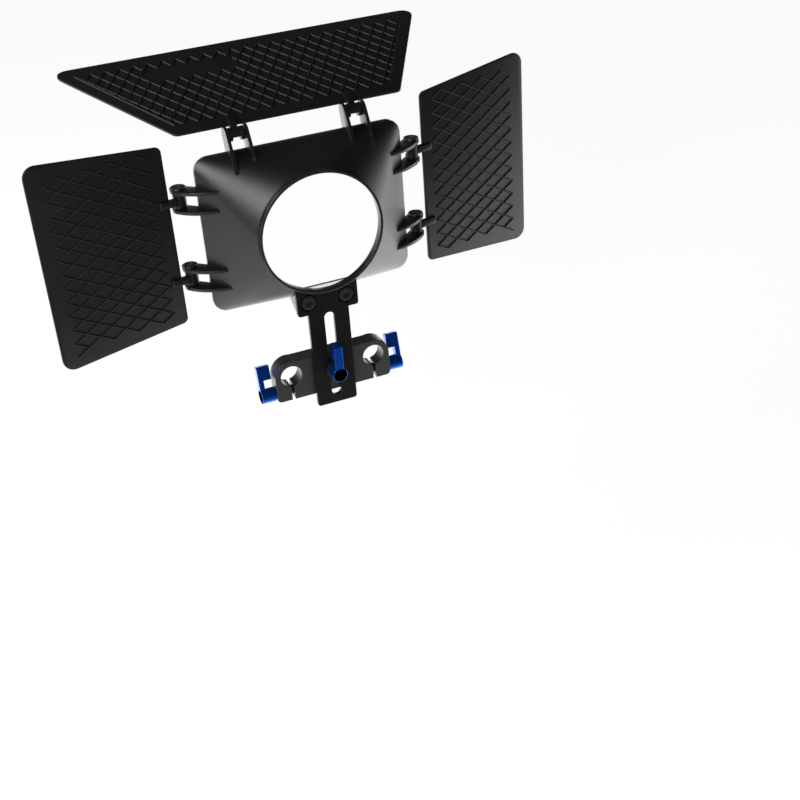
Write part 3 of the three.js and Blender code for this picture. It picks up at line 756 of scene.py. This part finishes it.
def side_ribs():
    """The side flags' lattice: two families of ribs between nodes of a grid of half diamonds."""
    def node(column, row):
        return (SIDE_LATTICE_FAR - HALF_LONG * column, SIDE_LATTICE_TOP - HALF_SHORT * row)
    lines = []
    for start in range(1 - SIDE_COLUMNS, SIDE_ROWS, 2):
        first, last = max(0, -start), min(SIDE_COLUMNS, SIDE_ROWS - start)
        lines.append((node(first, start + first), node(last, start + last)))
    for start in range(1, SIDE_ROWS + SIDE_COLUMNS, 2):
        # One rib runs on to the far edge, half a diamond below the rest of the lattice
        first = 0 if start == SIDE_ROWS + 1 else max(0, start - SIDE_ROWS)
        last = min(SIDE_COLUMNS, start)
        lines.append((node(first, start - first), node(last, start - last)))
    return lines


def between_borders(start, slope, wide, deep):
    """How far in from the far edge a rib enters and leaves the space between the slanted borders."""
    low, high = 0, deep
    for edge in (-1, 1):
        gain = edge * slope + TOP_BORDER_SLOPE
        run = (wide - edge * start) / gain
        if gain > 0:
            high = min(high, run)
        else:
            low = max(low, run)
    return low, high


def outside_patch(line):
    """What is left of a line outside the bare patch."""
    begin, end = (Vector(point) for point in line)
    enter, leave = 0, 1
    for axis, span in enumerate(BARE_PATCH):
        start, run = line[0][axis], line[1][axis] - line[0][axis]
        shares = sorted((limit - start) / run for limit in span)
        enter, leave = max(enter, shares[0]), min(leave, shares[1])
    if enter >= leave:
        return [line]
    return [(begin.lerp(end, low), begin.lerp(end, high))
            for low, high in ((0, enter), (leave, 1)) if low < high]


def top_ribs():
    """The top flag's lattice, between its slanted border ribs and clear of the bare patch."""
    deep = TOP_LATTICE_FAR - TOP_LATTICE_NEAR
    wide = TOP_BORDER_NEAR + TOP_BORDER_SLOPE * deep
    lines = [((TOP_LATTICE_FAR, side * wide), (TOP_LATTICE_NEAR, side * TOP_BORDER_NEAR))
             for side in (-1, 1)]
    for row in range(-TOP_ROWS, TOP_ROWS + 1):
        start = row * 2 * HALF_SHORT
        for slope in (-HALF_SHORT / HALF_LONG, HALF_SHORT / HALF_LONG):
            low, high = between_borders(start, slope, wide, deep)
            if high - low >= SHORTEST_RIB:
                lines += outside_patch(((TOP_LATTICE_FAR - low, start + slope * low),
                                        (TOP_LATTICE_FAR - high, start + slope * high)))
    return lines


def make_flag(flag, lines, place, name, body):
    bm = flag_plate(flag)
    for end in (-1, 1):
        add(bm, knuckle(flag), moved(0, 0, end * flag["hinges"] / 2))
    onto_plate = moved(0, flag["plane"] - FLAG_HALF_THICK, 0) @ ON_PLATE
    for line in lines:
        add(bm, rib(*line, *flag["rib"]), onto_plate)
    shift(bm, place)
    finish_piece(in_metres(bm), name + "_panel", body, "flag_plastic", [name])


def make_flags():
    out, ahead = hinge_centre("left")
    up, top_ahead = hinge_centre("top")
    mirror = Matrix.Diagonal((-1, 1, 1, 1))
    laid = Matrix(((0, 0, -1, 0), (1, 0, 0, 0), (0, -1, 0, 0), (0, 0, 0, 1)))
    left = moved(-out, ahead, AXIS_HEIGHT) @ Matrix.Rotation(LEFT_TURN, 4, "Z") @ mirror
    right = moved(out, ahead, AXIS_HEIGHT) @ Matrix.Rotation(RIGHT_TURN, 4, "Z")
    top = moved(0, top_ahead, AXIS_HEIGHT + up) @ Matrix.Rotation(TOP_TURN, 4, "X") @ laid
    make_flag(SIDE_FLAG, side_ribs(), left, "left_flag", "left_shade")
    make_flag(SIDE_FLAG, side_ribs(), right, "right_flag", "right_shade")
    make_flag(TOP_FLAG, top_ribs(), top, "top_flag", "top_shade")


def pad_ribs(place):
    """Grip ribs on both sides of a lever's thumb pad; the place is the lever's own frame."""
    ribs = []
    pitch = (PAD_TO - PAD_FROM) / PAD_RIBS
    for side in (-1, 1):
        face = side * (PAD_HALF - PAD_SINK)
        stand = Matrix(((0, 0, side, face), (side, 0, 0, 0), (0, 1, 0, 0), (0, 0, 0, 1)))
        for step in range(PAD_RIBS):
            along = side * (PAD_FROM + pitch * (step + PAD_FIRST))
            bar = rib((along, PAD_LOW + PAD_MARGIN), (along, PAD_HIGH - PAD_MARGIN), *PAD_RIB)
            shift(bar, place @ stand)
            ribs.append(bar)
    return ribs


def make_lever(name, body, place):
    finished_copy(name, body, "lever_metal", LEVER_EDGE, pad_ribs(place))


def make_screw(name, body, place, sizes):
    bm = cap_screw(*sizes)
    shift(bm, place)
    finish_piece(in_metres(bm), name + "_piece", body, "screw_steel", [name])


def make_bracket_and_clamp():
    finished_copy("bracket_plate", "carriage", "bracket_metal", BRACKET_EDGE)
    finished_copy("rod_clamp", "clamp", "clamp_metal", CLAMP_EDGE)
    washer = tube(WASHER_HOLE, WASHER_RADIUS, WASHER_FROM, WASHER_TO, WASHER_EDGE)
    shift(washer, moved(0, REAR_FACE, 0) @ TO_REAR)
    finish_piece(in_metres(washer), "washer", "clamp", "screw_steel", ["height_lock_washer"])


def make_locks():
    height = moved(0, REAR_FACE, 0) @ TO_REAR
    make_lever("height_lock_lever", "height_lock", height @ moved(0, 0, HEIGHT_LEVER_LIFT))
    make_screw("height_lock_screw", "height_lock", height @ moved(0, 0, HEIGHT_SCREW_LIFT), HEIGHT_SCREW)
    x, y, z = ROD_LOCK
    for side, sign in (("left", -1), ("right", 1)):
        lock = moved(sign * x, y, z) @ Matrix.Rotation(sign * math.pi / 2, 4, "Y")
        turn = Matrix.Rotation(sign * ROD_LEVER_TURN, 4, "Z")
        body = "rod_lock_" + side
        make_lever("rod_lock_lever_" + side, body, lock @ turn @ moved(0, 0, ROD_LEVER_LIFT))
        make_screw("rod_lock_screw_" + side, body, lock @ moved(0, 0, ROD_SCREW_LIFT), ROD_SCREW)


def make_screws():
    for side, sign in (("left", -1), ("right", 1)):
        place = moved(sign * BRACKET_SCREW_X, REAR_FACE + POCKET_DEPTH, BRACKET_SCREW_Z) @ TO_REAR
        make_screw("bracket_screw_" + side, "carriage", place, BRACKET_SCREW)
    for kind, end, name in HINGES:
        level, sizes = (-EAR_OUTER, TOP_PIN) if kind == "top" else (EAR_OUTER, SIDE_PIN)
        place = hinge_frame(kind, end) @ moved(*hinge_centre(kind), level + PIN_LIFT)
        make_screw("hinge_screw_" + name, "carriage", place, sizes)


def add_camera():
    data = bpy.data.cameras.new("camera")
    data.lens = LENS
    data.sensor_width = FILM_WIDTH
    data.clip_start = CLIP_START
    data.clip_end = CLIP_END
    camera = bpy.data.objects.new("camera", data)
    up = CAMERA_RIGHT.cross(CAMERA_AHEAD)
    turn = Matrix((CAMERA_RIGHT, up, -CAMERA_AHEAD)).transposed().to_4x4()
    camera.matrix_world = Matrix.Translation(CAMERA_AT) @ turn
    bpy.context.scene.collection.objects.link(camera)
    bpy.context.scene.camera = camera


def floor_surface():
    """White to the camera; gloss shows it bright in front, brightest on the right, and dim behind."""
    recipe = Recipe(bpy.data.materials.new("floor"))
    across, ahead = recipe.axis(0), recipe.axis(1)
    strength = recipe.ramp(across, *FLOOR_ACROSS_SPAN) * (RIGHT_LIGHT - LEFT_LIGHT) + LEFT_LIGHT
    reach = ahead + recipe.math("ABSOLUTE", across, 0) * SIDE_LIGHT_SHARE
    light = recipe.light(recipe.ramp(reach, *FLOOR_AHEAD_SPAN) * strength + REAR_LIGHT, FLOOR_GLOW)
    glow = recipe.node("ShaderNodeCombineXYZ", {}, {0: light, 1: light, 2: light})
    tone = recipe.mix(recipe.noise(400, 2), (0.25, 0.25, 0.25), (0.27, 0.27, 0.27))
    return recipe.finish(base=tone, roughness=0.9, level=0.0, emission=glow, glow=1)


def add_floor():
    bm = bmesh.new()
    bmesh.ops.create_grid(bm, x_segments=1, y_segments=1, size=FLOOR_HALF)
    bmesh.ops.translate(bm, verts=bm.verts, vec=(0, 0, FLOOR_HEIGHT))
    mesh = bpy.data.meshes.new("floor")
    bm.to_mesh(mesh)
    bm.free()
    mesh.materials.append(floor_surface())
    floor = bpy.data.objects.new("floor", mesh)
    bpy.context.scene.collection.objects.link(floor)


def add_lamps():
    for name, (place, size, power) in LAMPS.items():
        data = bpy.data.lights.new(name, "AREA")
        data.shape = "SQUARE"
        data.size = size
        data.energy = power
        lamp = bpy.data.objects.new(name, data)
        aim = (LAMP_AIM - Vector(place)).to_track_quat("-Z", "Y")
        lamp.matrix_world = Matrix.Translation(place) @ aim.to_matrix().to_4x4()
        bpy.context.scene.collection.objects.link(lamp)


def add_world():
    """White to the camera, plain light for the rest; gloss shows it bright in front and dim overhead."""
    world = bpy.data.worlds.new("world")
    recipe = Recipe(world, "Background", "Generated")
    ahead = recipe.ramp(recipe.axis(1), *WORLD_AHEAD_SPAN) * FRONT_LIGHT + REAR_LIGHT
    overhead = recipe.ramp(recipe.axis(2), *WORLD_HEIGHT_SPAN) * OVERHEAD_DIMMING
    recipe.put(recipe.shader.inputs["Strength"], recipe.light(ahead * (1 - overhead), 1))
    recipe.put(recipe.shader.inputs["Color"], (1, 1, 1, 1))
    bpy.context.scene.world = world


make_hood()
make_flags()
make_bracket_and_clamp()
make_locks()
make_screws()
add_camera()
add_floor()
add_lamps()
add_world()
bpy.context.scene.view_settings.view_transform = "Standard"
